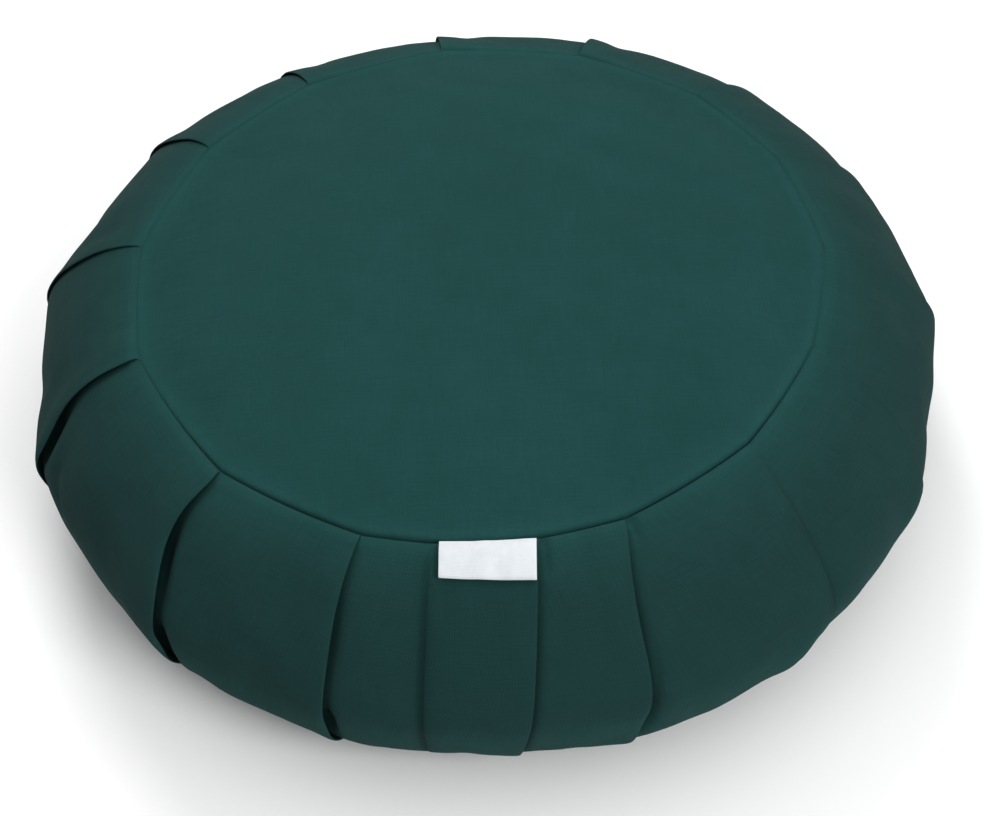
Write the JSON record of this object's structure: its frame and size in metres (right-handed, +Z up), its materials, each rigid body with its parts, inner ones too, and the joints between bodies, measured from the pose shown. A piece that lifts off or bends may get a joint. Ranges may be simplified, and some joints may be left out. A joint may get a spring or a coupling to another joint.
{
  "type": "zafu meditation cushion",
  "caption": "Low round zafu meditation cushion, firmly filled, with a pleated side and a small bare label sewn in the upper seam; to sit on, on the floor.",
  "frame": {"origin": "centre of the flat base, on the floor", "axes": "+Z up through the crown, -Y towards the side that carries the label, +X to the right as seen from there"},
  "size_m": [0.4024, 0.4042, 0.1078],
  "materials": {
    "green_cotton": "matt plain-woven cotton, dark bottle green",
    "label_satin": "white woven satin with a soft sheen"
  },
  "bodies": {
    "root": {"cushion": "green_cotton", "label": "label_satin"}
  },
  "joints": []
}
